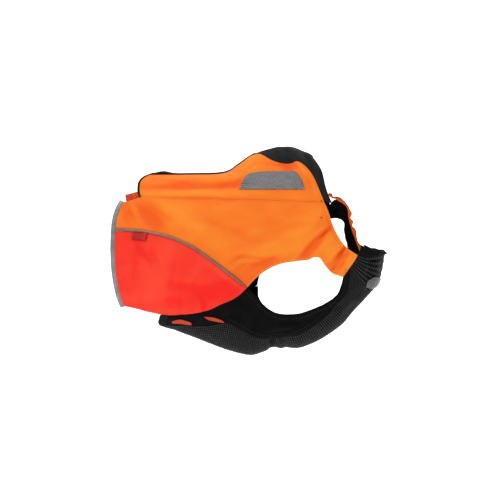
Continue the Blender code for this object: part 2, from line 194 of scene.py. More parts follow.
# The largest folds. Columns: x, z, direction in degrees above +X, half length,
# half width, height above the cloth, negative for a trough.
FOLDS = [
    (136, -138, 48, 30, 8, -4),
    (148, -148, 46, 26, 9, 2.6),
    (112, -118, 40, 40, 14, 2.4),
    (184, -158, 44, 22, 8, -3.5),
    (168, -152, 40, 24, 8, 2.5),
    (198, -172, 52, 20, 8, 2.5),
    (64, -150, 12, 60, 14, 3),
    (30, -178, 20, 48, 12, -2.5),
    (-76, -36, 1, 96, 5.5, -3.4),
    (-70, -49, 1, 120, 7, 2.2),
    (-60, -22, 3, 90, 6, 1.8),
    (20, -2, 28, 34, 9, -2),
    (86, -2, -62, 12, 9, -3),
    (-168, -88, -40, 34, 13, -4.2),
    (-204, -88, -70, 20, 8, -1.8),
    (-186, -82, -56, 24, 7, 2),
    (-100, -96, -32, 60, 18, 2.4),
    (-78, -221, -8, 40, 10, -3.6),
    (-34, -214, 22, 30, 8, -2.8),
    (-150, -190, 70, 60, 24, 3),
    (-22, -200, -38, 44, 6, 2.4),
    (-100, -242, 6, 60, 12, -1.8),
    (-166, -166, -52, 30, 8, -2.2),
    (-64, -248, 96, 13, 4.5, -2.2),
    (-20, -226, 30, 40, 12, -2.5),
    (60, -324, 84, 16, 9, -3.5),
    (24, -326, 80, 22, 16, 3),
    (104, -318, 78, 22, 16, 2.5),
    (198, -262, 42, 22, 8, -4),
    (182, -276, 44, 26, 12, 2.5),
    (232, -212, 20, 18, 8, 2.5),
]

# Smaller creases on the right side, as the photo shows them. Same columns.
RIGHT_CREASES = [
    (152, -120, 42, 13, 2.6, -4.6),
    (146, -113, 38, 14, 3.6, 2.2),
    (183, -152, 50, 12, 2.6, -4.8),
    (175, -148, 48, 14, 3.6, 2.2),
    (191, -153, 52, 12, 3.2, 1.6),
    (118, -152, 46, 22, 4, -1.8),
    (104, -160, 52, 22, 5, 1.2),
    (-68, -249, 98, 11, 1.7, -2.2),
    (-62, -248, 98, 13, 3.4, 0.9),
    (-75, -248, 94, 14, 3.6, 0.8),
    (-120, -27, -3, 46, 3.4, -1.5),
    (-20, -34, 2, 40, 3.4, -1.8),
    (-4, -26, 10, 22, 3.6, -1.4),
    (-84, -58, -1, 70, 3, -0.9),
    (-106, -30, 8, 40, 4, -0.9),
    (4, -18, 44, 20, 3.4, -2),
    (16, -6, 40, 20, 3.6, 1.5),
    (28, 4, 34, 14, 3.2, -1.4),
    (72, 2, -8, 24, 3.6, -2.6),
    (52, 6, -10, 22, 3.2, 1.3),
    (98, 4, -42, 14, 3.2, -2),
    (110, -4, -50, 16, 3.4, 1.5),
    (116, -10, -52, 22, 4.2, 1.1),
    (124, -28, -68, 22, 4, -1.2),
    (134, -44, -74, 18, 3.6, 0.9),
    (-8, -46, 4, 40, 4, -0.8),
    (-140, -84, -36, 42, 6, -1.4),
    (-122, -80, -34, 40, 6.5, 1.1),
    (-196, -86, -62, 18, 4.5, -0.9),
    (-174, -74, -40, 22, 4.5, 0.9),
    (-8, -168, 28, 18, 3.4, -2),
    (18, -163, -4, 22, 3.4, -2.2),
    (14, -170, 2, 26, 3.6, 1.5),
    (2, -180, 30, 20, 3, -1.6),
    (58, -166, 30, 24, 4, -1.4),
    (48, -150, 34, 40, 6, 1.2),
    (96, -132, 22, 44, 5.5, -1),
    (106, -96, 14, 40, 5.5, 0.8),
    (-10, -118, -20, 56, 7.5, -0.9),
    (10, -84, -8, 60, 7, 0.7),
    (148, -92, 66, 18, 3.6, -0.9),
    (168, -184, 42, 9, 3, -2.6),
    (158, -170, 34, 16, 4, 1.6),
    (186, -176, 48, 14, 3.4, -1.8),
    (196, -168, 50, 12, 3.4, 1.5),
    (-186, -160, 84, 40, 7, -1),
    (-168, -150, 80, 42, 7.5, 0.9),
    (-148, -172, -58, 26, 5, -1.6),
    (-122, -196, 74, 26, 6, -1.3),
    (-84, -196, 60, 46, 8, 1.3),
    (-12, -226, 36, 20, 4, -1.8),
    (-30, -232, 28, 26, 4.5, 1.3),
    (-140, -236, 86, 26, 6, 1),
    (-108, -246, 88, 22, 5, -1.1),
    (-176, -226, 80, 26, 6, -0.9),
]
# The hidden side's creases, of the same kinds in other places.
LEFT_CREASES = [
    (150, -84, 20, 12, 2.6, -2.6),
    (158, -92, 14, 12, 3.2, 1.5),
    (166, -98, 8, 12, 2.6, -2.8),
    (176, -112, -8, 11, 2.6, -2.6),
    (183, -122, -14, 11, 3.2, 1.5),
    (186, -132, -16, 12, 2.6, -2.8),
    (190, -146, -20, 12, 2.6, -2.4),
    (-60, -246, 96, 12, 1.8, -2),
    (-54, -245, 96, 13, 3.4, 0.8),
    (-44, -30, 2, 80, 4.5, -1.5),
    (-56, -20, 4, 66, 4, 1.1),
    (-24, -44, 0, 84, 4.2, 1),
    (14, -10, 34, 24, 4, -1.2),
    (64, 4, -18, 24, 4.5, -1.2),
    (104, -4, -42, 22, 4, -1.2),
    (128, -36, -70, 24, 4, 1),
    (-128, -88, -30, 42, 6, -1.2),
    (-150, -76, -38, 38, 6.5, 1),
    (-192, -90, -58, 18, 4.5, 0.8),
    (34, -168, 28, 38, 4.5, -1),
    (70, -150, 34, 42, 5, 0.9),
    (92, -118, 40, 40, 5.5, -1.1),
    (110, -92, 30, 34, 5, 0.9),
    (0, -112, -24, 52, 7.5, -0.8),
    (-176, -166, 82, 40, 7, -1),
    (-132, -176, 66, 48, 9, -1.2),
    (-92, -190, 62, 46, 8, 1.2),
    (-48, -212, 50, 38, 7, -1.1),
    (-130, -238, 84, 26, 6, 0.9),
    (-96, -244, 90, 22, 5, -1),
    (-170, -230, 78, 26, 6, -0.8),
]
# Creases of the soft black pieces and the underside, on both sides.
SOFT_CREASES = [
    (46, -262, 62, 22, 5, 1.8),
    (34, -272, 58, 26, 5.5, -1.8),
    (20, -270, 60, 28, 6, 1.5),
    (-4, -262, 50, 26, 6, -1.4),
    (76, -290, 8, 34, 5, 1.7),
    (88, -282, 6, 36, 4.5, -1.5),
    (122, -282, -24, 26, 4.5, 1.4),
    (146, -268, -38, 22, 4, -1.5),
    (164, -250, -48, 18, 4, 1.2),
    (176, -262, 46, 18, 4, -1.8),
    (56, -318, 74, 14, 4, -2.4),
    (50, -320, 80, 14, 4.5, 1.5),
    (72, -320, 100, 14, 4.5, 1.2),
    (84, -322, 84, 14, 4, -1.2),
    (-104, -292, 12, 24, 4, -1.2),
    (20, 6, 30, 34, 18, 3.6),
    (174, -254, 40, 9, 4, -3.2),
    (56, -312, 70, 12, 5, -3.4),
    (88, 22, -30, 16, 5, -2.4),
    (76, 26, -36, 18, 6, 1.8),
    (104, 20, -40, 16, 6, 1.8),
    (120, 14, -54, 18, 5, -2),
    (136, -6, -66, 20, 4.5, 1.6),
    (146, -28, -78, 18, 4.5, -1.6),
    (152, -46, -74, 14, 4, 1.4),
    (54, 28, 12, 16, 5, -1.2),
    (244, -160, 20, 8, 5, 1.6),
    (238, -170, 30, 14, 4, -3.2),
    (231, -196, 84, 26, 4, -3.4),
    (222, -184, 60, 20, 4, 2),
    (246, -186, 84, 22, 4.5, 2.2),
    (212, -176, 30, 12, 3.5, -1.8),
    (206, -206, 48, 18, 3.5, -1.8),
    (208, -232, 44, 24, 4.5, -1.4),
    (196, -246, 44, 24, 5, 1.6),
]
FADE_OVER_RIDGE = 14.0

# The threads' spacing and the height of the finest bumps, in metres.
WEAVE_PITCH = 0.0009
KNIT_PITCH = 0.0011
FINE = 0.00012


def rows_at(table, place):
    """The smooth rows between the rows of a table, at places counted in rows."""
    last = len(table) - 1
    first = np.clip(np.floor(place).astype(int), 0, last - 1)
    t = (place - first)[..., None]
    a, b = table[np.maximum(first - 1, 0)], table[first]
    c, d = table[first + 1], table[np.minimum(first + 2, last)]
    return b + 0.5 * t * (c - a + t * (2 * a - 5 * b + 4 * c - d + t * (3 * (b - c) + d - a)))


def smooth(points, steps=STEPS):
    """The points of a smooth line through a few points, with some steps in each span."""
    count = (len(points) - 1) * steps + 1
    return rows_at(np.asarray(points, float), np.arange(count) / steps)


def bumps(x, z, table):
    """How far a table of folds lifts the cloth at points of the view."""
    height = np.zeros_like(x)
    for fold_x, fold_z, direction, half_length, half_width, rise in table:
        turn = math.radians(direction)
        along = (x - fold_x) * math.cos(turn) + (z - fold_z) * math.sin(turn)
        across = (z - fold_z) * math.cos(turn) - (x - fold_x) * math.sin(turn)
        height += rise * np.exp(-((along / half_length) ** 2) - (across / half_width) ** 2)
    return height


def on_trunk(spots):
    """Points of the trunk, from places along the sections and angles from the ridge."""
    row = rows_at(SECTIONS, spots[..., 0])
    angle = spots[..., 1]
    share = (1 + np.cos(angle)) / 2
    x = row[..., 2] + (row[..., 0] - row[..., 2]) * share
    z = row[..., 3] + (row[..., 1] - row[..., 3]) * share
    return np.stack([x, -row[..., 4] * np.sin(angle), z], axis=-1)


def unit(vectors):
    return vectors / np.maximum(np.linalg.norm(vectors, axis=-1, keepdims=True), 1e-9)


def slopes(spots):
    """The trunk's two directions at each spot, and the outward normal."""
    step = 0.01
    ahead, round_it = np.array([step, 0.0]), np.array([0.0, step])
    along = (on_trunk(spots + ahead) - on_trunk(spots - ahead)) / (2 * step)
    around = (on_trunk(spots + round_it) - on_trunk(spots - round_it)) / (2 * step)
    return along, around, unit(np.cross(around, along))


def seen(points):
    """Where the view that the outlines are read off shows points, each from its own side."""
    x, y, z = points[..., 0] - VIEW_CENTRE[0], -np.abs(points[..., 1]), points[..., 2] - VIEW_CENTRE[1]
    depth = VIEW_DISTANCE - x * math.sin(VIEW_TURN) + y * math.cos(VIEW_TURN)
    across = x * math.cos(VIEW_TURN) + y * math.sin(VIEW_TURN)
    scale = VIEW_DISTANCE / depth
    return VIEW_CENTRE[0] + across * scale, VIEW_CENTRE[1] + z * scale


def locate_beside(x, z):
    """The places and angles on the right side with these x and z."""
    low, high = np.zeros(len(x)), np.full(len(x), len(SECTIONS) - 1.0)
    for _ in range(40):
        middle = (low + high) / 2
        row = rows_at(SECTIONS, middle)
        miss = (x - row[:, 2]) * (row[:, 1] - row[:, 3]) - (z - row[:, 3]) * (row[:, 0] - row[:, 2])
        low, high = np.where(miss > 0, middle, low), np.where(miss > 0, high, middle)
    row = rows_at(SECTIONS, low)
    share = (z - row[:, 3]) / (row[:, 1] - row[:, 3])
    return np.stack([low, np.arccos(np.clip(2 * share - 1, -1, 1))], axis=-1)


def locate(points):
    """The places and angles on the right side that points of an outline show."""
    x, z = np.asarray(points, float).T
    guess_x, guess_z = x, z
    for _ in range(8):
        found = locate_beside(guess_x, guess_z)
        seen_x, seen_z = seen(on_trunk(found))
        guess_x, guess_z = guess_x + x - seen_x, guess_z + z - seen_z
    return found


def locate_crossing(x, column):
    """The places where the back line (column 0) or the keel line (column 2) has these x."""
    x = np.asarray(x, float)
    low, high = np.zeros(len(x)), np.full(len(x), len(SECTIONS) - 1.0)
    for _ in range(40):
        middle = (low + high) / 2
        short = rows_at(SECTIONS, middle)[:, column] < x
        low, high = np.where(short, middle, low), np.where(short, high, middle)
    return low


def reach_along(spots):
    """How far along a line of the trunk each of its spots is, in millimetres."""
    steps = np.linalg.norm(np.diff(on_trunk(spots), axis=0), axis=-1)
    return np.concatenate([[0.0], np.cumsum(steps)])


def spots_at(spots, reach, goal):
    """The spots of a line at some distances along it."""
    return np.stack([np.interp(goal, reach, spots[:, 0]), np.interp(goal, reach, spots[:, 1])], -1)


def line(points, steps=STEPS):
    """A smooth line on the trunk through points of an outline."""
    return smooth(locate(points), steps)


def moved(spots, shift):
    """Spots of the trunk moved along its surface by vectors in millimetres."""
    along, around, _ = slopes(spots)
    aa, bb = (along**2).sum(-1), (around**2).sum(-1)
    ab, a, b = (along * around).sum(-1), (shift * along).sum(-1), (shift * around).sum(-1)
    scale = aa * bb - ab * ab
    return spots + np.stack([(a * bb - b * ab) / scale, (b * aa - a * ab) / scale], axis=-1)


def beside(spots, distances):
    """A line beside a line, seen from outside on its left for a positive distance."""
    ends = np.concatenate([spots[:1], spots, spots[-1:]])
    direction = unit(on_trunk(ends[2:]) - on_trunk(ends[:-2]))
    square = np.cross(slopes(spots)[2], direction)
    return moved(spots, square * np.broadcast_to(distances, len(spots))[:, None])


def shares(count):
    """Shares of the way across a piece, with two more rows close to each edge."""
    close = np.array([0.25, 0.55]) / count
    return np.sort(np.concatenate([np.linspace(0, 1, count + 1), close, 1 - close]))


def strip_between(start, end, across, bow=0.0, fade=1):
    """A grid of trunk spots between two lines. Its first columns may bow along the body."""
    share = shares(across)[None, :, None]
    grid = start[:, None] + (end - start)[:, None] * share
    fading = np.maximum(0.0, 1 - np.arange(len(start)) / fade)[:, None, None]
    reach = bow * fading * 4 * share * (1 - share)
    return moved(grid, reach * np.array([1.0, 0.0, 0.0])) if bow else grid


def strip_over(edge, crossing, places, across, fullness=1.0, far_edge=None):
    """A grid that runs from a line on the right over the ridge or keel to the left."""
    far = edge if far_edge is None else far_edge
    share = shares(across)[None, :]
    place = edge[:, :1] + (far[:, :1] - edge[:, :1]) * share
    swell = np.maximum(0.0, np.sin(np.pi * share)) ** fullness
    along = place + swell * (np.asarray(places)[:, None] - place)
    start, end = edge[:, 1:], 2 * crossing - far[:, 1:]
    return np.stack([along, start + (end - start) * share], axis=-1)


def noise_at(points, grain, seed=0.0):
    """Smooth noise from about -1 to 1 at points, with a grain in millimetres."""
    offset = Vector((seed, 2 * seed, -seed))
    flat = points.reshape(-1, 3) / grain
    values = [noise.noise(Vector(point) + offset) for point in flat]
    return np.array(values).reshape(points.shape[:-1])


def relief(points):
    """How far all folds and creases lift the cloth at points of the trunk."""
    x, z = seen(points)
    right = 0.5 - 0.5 * np.tanh(points[..., 1] / FADE_OVER_RIDGE)
    height = bumps(x, z, FOLDS) + bumps(x, z, SOFT_CREASES)
    height += right * bumps(x, z, RIGHT_CREASES) + (1 - right) * bumps(x, z, LEFT_CREASES)
    height += 0.45 * noise_at(points * np.array([0.6, 1.0, 1.2]), 24.0, 3.1)
    return height + 0.12 * noise_at(points, 7.0, 8.7)


def seam_cut(grid):
    """Draws a grid's border in by half the seam gap."""
    def drawn_in(edge, inner):
        reach = np.linalg.norm(on_trunk(inner) - on_trunk(edge), axis=-1, keepdims=True)
        return edge + (inner - edge) * np.minimum(0.4, SEAM_GAP / 2 / np.maximum(reach, 1e-6))

    cut = grid.copy()
    cut[:, 0], cut[:, -1] = drawn_in(cut[:, 0], cut[:, 1]), drawn_in(cut[:, -1], cut[:, -2])
    cut[0], cut[-1] = drawn_in(cut[0], cut[1]), drawn_in(cut[-1], cut[-2])
    return cut


def ways(points, axis):
    """The way along a grid from its first edge and back from its last, in millimetres."""
    steps = np.linalg.norm(np.diff(points, axis=axis), axis=-1)
    start = np.zeros(points.shape[:2])
    start[(slice(1, None), slice(None)) if axis == 0 else (slice(None), slice(1, None))] = (
        np.cumsum(steps, axis=axis)
    )
    return start, steps.sum(axis=axis, keepdims=True) - start


class Spread:
    """Where a grid's points are: millimetres from its four edges, and their places."""

    def __init__(self, points):
        self.start, self.end = ways(points, 0)
        self.top, self.low = ways(points, 1)
        self.points = points
        self.x, self.y, self.z = np.moveaxis(points, -1, 0)
        self.column = np.broadcast_to(np.arange(points.shape[0])[:, None], points.shape[:2])


def border(columns, rows):
    """The column and row numbers of a grid's border points, once round."""
    i = np.concatenate([
        np.arange(columns), np.full(rows - 2, columns - 1),
        np.arange(columns - 1, -1, -1), np.zeros(rows - 2, int),
    ])
    j = np.concatenate([
        np.zeros(columns, int), np.arange(1, rows - 1),
        np.full(columns, rows - 1), np.arange(rows - 2, 0, -1),
    ])
    return i, j


def free_edge(i, j, columns, rows, free):
    """Which border points are on free edges, given as edge, first and last column."""
    found = np.zeros(len(i), bool)
    for edge, first, last in free:
        on_edge = {"top": j == 0, "low": j == rows - 1, "start": i == 0, "end": i == columns - 1}
        found |= on_edge[edge] & (i >= first) & (i <= (columns if last is None else last))
    return found


def new_piece(name, points, faces, paints, finish=None):
    """A closed mesh piece from points in millimetres, with its faces turned outwards."""
    mesh = bpy.data.meshes.new(name)
    mesh.from_pydata((points * MM).tolist(), [], faces.tolist())
    for paint in paints:
        mesh.materials.append(paint)
    if finish is not None:
        mesh.polygons.foreach_set("material_index", finish)
    work = bmesh.new()
    work.from_mesh(mesh)
    bmesh.ops.recalc_face_normals(work, faces=work.faces)
    work.to_mesh(mesh)
    work.free()
    mesh.shade_smooth()
    piece = bpy.data.objects.new(name, mesh)
    bpy.context.collection.objects.link(piece)
    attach(piece, "root")
    return piece


def shell(name, grid, skin, lining, side=RIGHT, low=-WALL, lift=0.0, rise=None, free=()):
    """One piece of cloth: a closed wall over a grid, with a rounded rim."""
    cut = seam_cut(grid)
    mirror = np.array([1.0, side, 1.0])
    flat, normal = on_trunk(cut) * mirror, slopes(cut)[2] * mirror
    at, height = Spread(flat), relief(flat)
    extra = rise(at) if rise else np.zeros_like(height)
    outer = flat + normal * (height + lift + extra)[..., None]
    inner = flat + normal * (height + low + 0.35 * extra)[..., None]

    columns, rows = height.shape
    i, j = border(columns, rows)
    inside = np.clip(i, 1, columns - 2), np.clip(j, 1, rows - 2)
    middle = (outer[i, j] + inner[i, j]) / 2
    out = unit(middle - (outer[inside] + inner[inside]) / 2)
    is_free = free_edge(i, j, columns, rows, free)
    rim = middle + out * np.where(is_free, FREE_RIM, SEWN_RIM)[:, None]

    number = np.arange(columns * rows).reshape(columns, rows)
    a, b, c, d = number[:-1, :-1], number[1:, :-1], number[1:, 1:], number[:-1, 1:]
    top = np.stack([a, b, c, d], axis=-1).reshape(-1, 4)
    under = columns * rows
    ring = number[i, j]
    after = np.roll(ring, -1)
    middle_ring = 2 * under + np.arange(len(ring))
    after_middle = np.roll(middle_ring, -1)
    upper_rim = np.stack([ring, middle_ring, after_middle, after], axis=-1)
    lower_rim = np.stack([middle_ring, ring + under, after + under, after_middle], axis=-1)
    faces = np.concatenate([top, top[:, ::-1] + under, upper_rim, lower_rim])
    finish = np.repeat([0, 1, 0, 1], [len(top), len(top), len(ring), len(ring)])
    points = np.concatenate([outer.reshape(-1, 3), inner.reshape(-1, 3), rim])
    piece = new_piece(name, points, faces, [skin, lining], finish)

    spread = np.stack([at.start, at.top], axis=-1).reshape(-1, 2)
    spread = np.concatenate([spread, spread, spread.reshape(columns, rows, 2)[i, j]]) * MM
    loops = np.zeros(len(piece.data.loops), int)
    piece.data.loops.foreach_get("vertex_index", loops)
    layer = piece.data.uv_layers.new(name="cloth")
    layer.uv.foreach_set("vector", spread[loops].ravel())
    # The trough attribute is the fold depth, which the cloth materials turn into painted shade in troughs
    # and painted highlight on ridges.
    depth = (-(height + extra)).ravel()
    depth = np.concatenate([depth, depth, depth.reshape(columns, rows)[i, j]])
    piece.data.attributes.new("trough", "FLOAT", "POINT").data.foreach_set("value", depth)
    area = sum(face.area for face in piece.data.polygons) / 2
    lines = at.start[-1] * MM
    piece["cut"] = [lines.max(), lines.min(), at.top[:, -1].max() * MM, area]
    return piece


def stitches(name, rows, paint, side=RIGHT, pitch=STITCH_PITCH,
             thickness=STITCH_THICKNESS):
    """Short threads along lines of the trunk, each line with its height above the cloth."""
    mirror = np.array([1.0, side, 1.0])
    turns = np.arange(6) * math.tau / 6
    points, faces, used = [], [], 0
    for spots, lift in rows:
        reach = reach_along(spots)
        count = int(reach[-1] // pitch)
        goal = (np.arange(count)[:, None] + np.array([0.1, 0.28, 0.62, 0.8])) * pitch
        at = spots_at(spots, reach, goal)
        flat, normal = on_trunk(at) * mirror, slopes(at)[2] * mirror
        height = relief(flat) + lift + np.array([-0.3, 0.12, 0.12, -0.3])
        centre = flat + normal * height[..., None]
        square = unit(np.cross(normal, unit(centre[:, -1:] - centre[:, :1])))
        radius = thickness / 2 * np.array([0.75, 1.0, 1.0, 0.75])[:, None, None]
        ring = np.cos(turns)[:, None] * square[:, :, None] + np.sin(turns)[:, None] * normal[:, :, None]
        tube = centre[:, :, None] + ring * radius
        base = used + np.arange(count)[:, None, None] * 24
        step, turn = np.arange(3)[:, None] * 6, np.arange(6)
        a, b = base + step + turn, base + step + (turn + 1) % 6
        faces.append(np.stack([a, b, b + 6, a + 6], axis=-1).reshape(-1, 4))
        for first in (0, 18):
            for corners in ((0, 1, 2, 3), (0, 3, 4, 5)):
                faces.append(base[:, 0] + first + np.array(corners))
        points.append(tube.reshape(-1, 3))
        used += count * 24
    return new_piece(name, np.concatenate(points), np.concatenate(faces), [paint])


def feed(tree, node, inputs):
    """Gives a node's inputs their values or links."""
    for key, value in inputs.items():
        if isinstance(value, bpy.types.NodeSocket):
            tree.links.new(value, node.inputs[key])
        else:
            node.inputs[key].default_value = value


def add(tree, kind, inputs=(), **settings):
    """A shader node with its settings, and its inputs as values or links."""
    made = tree.nodes.new("ShaderNode" + kind)
    for key, value in settings.items():
        setattr(made, key, value)
    feed(tree, made, dict(inputs))
    return made


def blend(tree, share, first, second):
    """A mix of two colours, each a socket or a plain colour."""
    ends = [(*value, 1.0) if isinstance(value, tuple) else value for value in (first, second)]
    return add(tree, "Mix", {0: share, 6: ends[0], 7: ends[1]}, data_type="RGBA").outputs[2]


def ramp(tree, value, start, end, low=0.0, high=1.0):
    made = add(tree, "MapRange", {0: value, 1: start, 2: end, 3: low, 4: high})
    made.interpolation_type = "SMOOTHSTEP"
    return made.outputs[0]


def product(tree, first, second):
    return add(tree, "Math", {0: first, 1: second}, operation="MULTIPLY").outputs[0]


def total(tree, first, second, clamp=False):
    return add(tree, "Math", {0: first, 1: second}, operation="ADD", use_clamp=clamp).outputs[0]


def point_value(tree, name):
    return add(tree, "Attribute", attribute_name=name).outputs["Fac"]


def cloth_place(tree):
    """The cloth's own coordinates in metres."""
    return add(tree, "UVMap", uv_map="cloth").outputs[0]


def finish_paint(tree, shader, colour, normal, grain, detail, low, high):
    """Colours a shader, with its bumps and a roughness that wanders between two values."""
    worn = ramp(tree, noise_node(tree, grain, detail), 0.3, 0.7, low, high)
    feed(tree, shader, {"Base Color": colour, "Normal": normal, "Roughness": worn})


def new_material(name, roughness, metallic=0.0, specular=0.3, sheen=0.0, sheen_roughness=0.5):
    """A material with its node tree and its shader."""
    made = bpy.data.materials.new(name)
    made.use_nodes = True
    tree = made.node_tree
    shader = tree.nodes["Principled BSDF"]
    feed(tree, shader, {
        "Roughness": roughness, "Metallic": metallic, "Specular IOR Level": specular,
        "Sheen Weight": sheen, "Sheen Roughness": sheen_roughness,
    })
    return made, tree, shader


def noise_node(tree, scale, detail=3.0, stretch=(1, 1, 1)):
    place = add(tree, "TexCoord").outputs["Object"]
    turned = add(tree, "Mapping", {"Vector": place, "Scale": stretch}).outputs[0]
    settings = {"Vector": turned, "Scale": scale, "Detail": detail}
    return add(tree, "TexNoise", settings).outputs["Fac"]


def threads(tree, pitch, direction):
    """Bands of one thread's width along or across the cloth, from 0 to 1."""
    settings = {
        "Vector": cloth_place(tree), "Scale": math.pi / 10 / pitch,
        "Distortion": 0.6, "Detail": 1.0, "Detail Scale": 0.4,
    }
    return add(tree, "TexWave", settings, bands_direction=direction).outputs["Fac"]


def weave_height(tree, pitch):
    """A plain weave: the higher of a thread along and a thread across."""
    along, across = threads(tree, pitch, "X"), threads(tree, pitch, "Y")
    return add(tree, "Math", {0: along, 1: across}, operation="MAXIMUM").outputs[0]


def bump(tree, height, distance, before=None):
    settings = {"Height": height, "Strength": 1.0, "Distance": distance}
    if before is not None:
        settings["Normal"] = before
    return add(tree, "Bump", settings).outputs[0]


def woven(name, light, deep):
    """A coated weave with fine threads, in two tones: painted highlight on its fold ridges and painted shade
    in its fold troughs.
    """
    made, tree, shader = new_material(name, 0.62, specular=0.1, sheen=0.03)
    # hollow is painted shade: light is the ridges' painted highlight colour and deep the troughs' painted
    # shade colour, picked by fold depth. The noise adds a random mottle.
    hollow = ramp(tree, point_value(tree, "trough"), -2.8, 3.0)
    mottle = ramp(tree, noise_node(tree, 26.0, 4.0, (1, 1, 2)), 0.3, 0.72, -0.12, 0.16)
    weave = weave_height(tree, WEAVE_PITCH)
    tone = blend(tree, total(tree, hollow, mottle, True), light, deep)
    shade = ramp(tree, weave, 0.2, 0.9, 0.12, 0.0)
    speck = ramp(tree, noise_node(tree, 900.0, 1.0), 0.35, 0.65, 0.0, 0.07)
    dark = tuple(0.72 * part for part in deep)
    colour = blend(tree, total(tree, shade, speck), tone, dark)
    grain = bump(tree, noise_node(tree, 210.0, 4.0), 0.00025)
    finish_paint(tree, shader, colour, bump(tree, weave, FINE, grain), 60.0, 2.0, 0.56, 0.68)
    return made


def reflective(name, colour, dark):
    """Satin grey tape with tiny glass beads and faint crosswise rubbing."""
    made, tree, shader = new_material(name, 0.42, metallic=0.25, specular=0.5)
    beads = add(tree, "TexVoronoi", {"Vector": cloth_place(tree), "Scale": 1400.0}).outputs["Distance"]
    rubbed = ramp(tree, noise_node(tree, 85.0, 5.0), 0.38, 0.68, 0.0, 0.75)
    tone = blend(tree, rubbed, colour, dark)
    pits = ramp(tree, beads, 0.1, 0.7, 0.0, 0.25)
    grain = bump(tree, noise_node(tree, 180.0, 3.0), 0.0003)
    finish_paint(tree, shader, blend(tree, pits, tone, (0.12, 0.12, 0.12)), bump(tree, beads, FINE, grain),
                 120.0, 3.0, 0.34, 0.55)
    return made


def open_mesh(name, colour, gap):
    """A knitted mesh: slanted rows of small holes over a darker backing."""
    made, tree, shader = new_material(name, 0.55, specular=0.3)
    settings = {"Vector": cloth_place(tree), "Rotation": (0, 0, 0.9), "Scale": (1, 0.62, 1)}
    turned = add(tree, "Mapping", settings)
    holes = add(tree, "TexVoronoi", {"Vector": turned.outputs[0], "Scale": 420.0, "Randomness": 0.16})
    open_part = ramp(tree, holes.outputs["Distance"], 0.24, 0.42, 1.0, 0.0)
    mottle = ramp(tree, noise_node(tree, 70.0, 4.0, (1, 1, 3)), 0.35, 0.7, 0.0, 0.6)
    tone = blend(tree, mottle, colour, tuple(0.62 * part for part in colour))
    share = product(tree, open_part, 0.85)
    net = bump(tree, ramp(tree, holes.outputs["Distance"], 0.2, 0.5), 0.0005)
    finish_paint(tree, shader, blend(tree, share, tone, gap), net, 300.0, 2.0, 0.45, 0.65)
    return made


def soft_black(name, colour, light, roughness, grain, sheen):
    """Soft stretch cloth: short nap, with painted highlight on its raised fold ridges and a random lighter
    mottle.
    """
    made, tree, shader = new_material(name, roughness, specular=0.04, sheen=sheen, sheen_roughness=0.45)
    # raised is painted highlight: the cloth is painted lighter where the folds lift it.
    raised = ramp(tree, point_value(tree, "trough"), -2.6, 0.4, 0.55, 0.0)
    mottle = ramp(tree, noise_node(tree, 48.0, 5.0), 0.35, 0.7, 0.0, 0.45)
    fuzz = ramp(tree, noise_node(tree, 1500.0, 2.0), 0.3, 0.7, 0.0, 0.35)
    share = total(tree, total(tree, raised, mottle, True), fuzz, True)
    nap = bump(tree, noise_node(tree, 900.0, 3.0), grain)
    knit = bump(tree, weave_height(tree, KNIT_PITCH), 0.0001, nap)
    finish_paint(tree, shader, blend(tree, share, colour, light), knit,
                 90.0, 2.0, roughness - 0.07, roughness + 0.07)
    return made


def ribbed_weave(name, colour, gap, dash):
    """Tough ribbed cloth: rib tops painted light in dashes as painted highlight, painted shade between the
    ribs and deeper painted shade in fold troughs.
    """
    made, tree, shader = new_material(name, 0.66, specular=0.08, sheen=0.02)
    height, rib = point_value(tree, "trough"), point_value(tree, "rib")
    dashes = ramp(tree, threads(tree, dash, "Y"), 0.2, 0.7)
    on_top = product(tree, ramp(tree, rib, 0.25, 0.9), dashes)
    hollow = ramp(tree, height, 0.5, 4.0, 0.0, 0.5)
    mottle = ramp(tree, noise_node(tree, 60.0, 4.0), 0.3, 0.7, 0.75, 1.0)
    # lit is the rib tops' painted highlight, dimmed in fold troughs as painted shade; elsewhere the dark gap
    # colour is painted shade.
    lit = product(tree, product(tree, on_top, mottle), ramp(tree, hollow, 0.0, 0.6, 1.0, 0.4))
    grain = bump(tree, noise_node(tree, 700.0, 3.0), 0.00015)
    finish_paint(tree, shader, blend(tree, lit, gap, colour), bump(tree, dashes, 0.00035, grain),
                 150.0, 2.0, 0.58, 0.75)
    return made


def thread_paint(name, colour, dark):
    """Twisted sewing thread."""
    made, tree, shader = new_material(name, 0.5, specular=0.4, sheen=0.1)
    twist = noise_node(tree, 1400.0, 2.0)
    tone = blend(tree, ramp(tree, twist, 0.35, 0.65), colour, dark)
    feed(tree, shader, {"Base Color": tone, "Normal": bump(tree, twist, 0.0001)})
    return made


